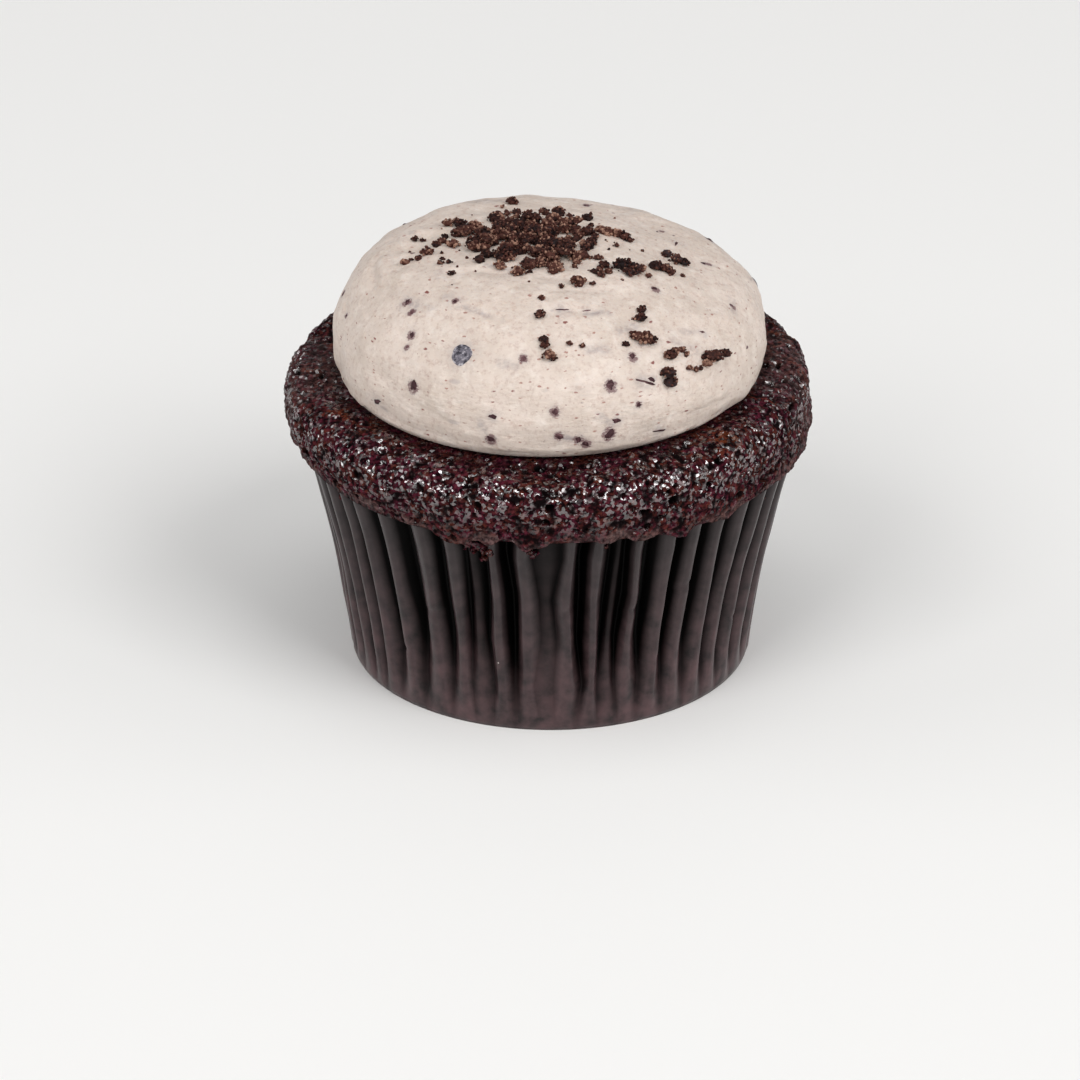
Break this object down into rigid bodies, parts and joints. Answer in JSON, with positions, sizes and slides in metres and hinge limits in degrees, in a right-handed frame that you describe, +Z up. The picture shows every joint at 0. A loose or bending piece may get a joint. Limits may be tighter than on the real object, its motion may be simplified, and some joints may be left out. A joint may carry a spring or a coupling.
{
  "type": "frosted cupcake",
  "caption": "Chocolate cupcake in a dark pleated paper case, with a lip spilling over the case, a smooth mound of pale frosting and scattered cookie crumbs.",
  "frame": {"origin": "centre of the paper case's flat base, on the surface that the cupcake stands on", "axes": "+Z up; -Y is the side shown in front, where the case's pleats are pressed flat; +X to its right"},
  "size_m": [0.0666, 0.0654, 0.0583],
  "materials": {
    "case_paper": "satin",
    "chocolate_cake": "satin",
    "cookie_frosting": "satin",
    "cookie_crumbs": "matte"
  },
  "bodies": {
    "root": {"paper_case": "case_paper", "cake": "chocolate_cake", "frosting": "cookie_frosting"}
  },
  "joints": []
}
